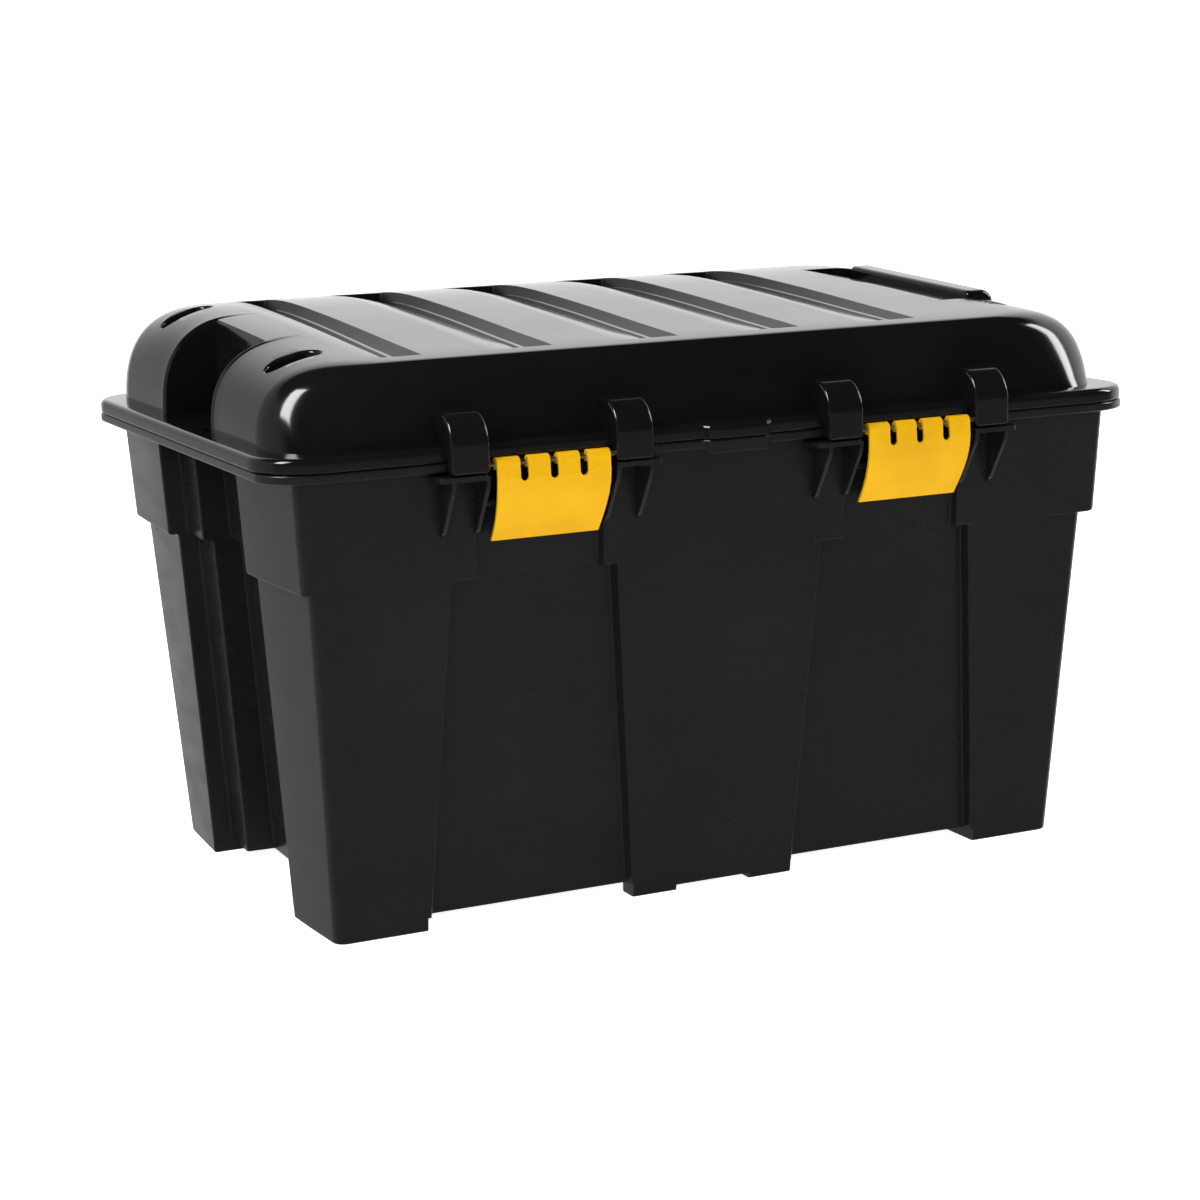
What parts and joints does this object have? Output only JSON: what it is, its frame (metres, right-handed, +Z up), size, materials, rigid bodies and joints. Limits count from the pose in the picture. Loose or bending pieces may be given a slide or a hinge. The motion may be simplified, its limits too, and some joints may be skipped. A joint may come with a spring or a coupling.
{
  "type": "rolling storage trunk",
  "caption": "Lidded plastic storage trunk: tapered tub, vaulted hinged lid, swinging front latches, end grips and small wheels at one end.",
  "frame": {"origin": "on the floor, under the middle of the closed trunk's bounding box", "axes": "+X along the trunk's length towards the wheeled end, -Y out of the latched front, +Z up"},
  "size_m": [0.632, 0.43, 0.3944],
  "materials": {
    "tub_plastic": "semi-gloss black moulding",
    "lid_plastic": "gloss black moulding",
    "latch_plastic": "satin yellow moulding",
    "steel": "plain drawn wire",
    "hub_plastic": "matte black moulding",
    "tyre_rubber": "plain rubber"
  },
  "bodies": {
    "tub": {"base_tub": "tub_plastic", "hinge_pin_left": "steel", "hinge_pin_right": "steel", "wheel_axle": "steel", "axle_cap_front": "steel", "axle_cap_rear": "steel"},
    "lid": {"lid_shell": "lid_plastic", "latch_pin_left": "steel", "latch_pin_right": "steel"},
    "latch_l": {"latch_left": "latch_plastic"},
    "latch_r": {"latch_right": "latch_plastic"},
    "wheel_f": {"wheel_hub_front": "hub_plastic", "wheel_tyre_front": "tyre_rubber"},
    "wheel_r": {"wheel_hub_rear": "hub_plastic", "wheel_tyre_rear": "tyre_rubber"}
  },
  "joints": [
    {"name": "lid_hinge", "type": "hinge", "parent": "tub", "child": "lid", "pos_m": [0, 0.2095, 0.313], "axis": [-1, 0, 0], "range_deg": [0, 105]},
    {"name": "latch_left_hinge", "type": "hinge", "parent": "lid", "child": "latch_l", "pos_m": [-0.1325, -0.21, 0.3095], "axis": [-1, 0, 0], "range_deg": [0, 105]},
    {"name": "latch_right_hinge", "type": "hinge", "parent": "lid", "child": "latch_r", "pos_m": [0.1325, -0.21, 0.3095], "axis": [-1, 0, 0], "range_deg": [0, 105]},
    {"name": "wheel_front_spin", "type": "hinge", "parent": "tub", "child": "wheel_f", "pos_m": [0.262, -0.056, 0.0295], "axis": [0, 1, 0], "continuous": true},
    {"name": "wheel_rear_spin", "type": "hinge", "parent": "tub", "child": "wheel_r", "pos_m": [0.262, 0.056, 0.0295], "axis": [0, 1, 0], "continuous": true}
  ]
}
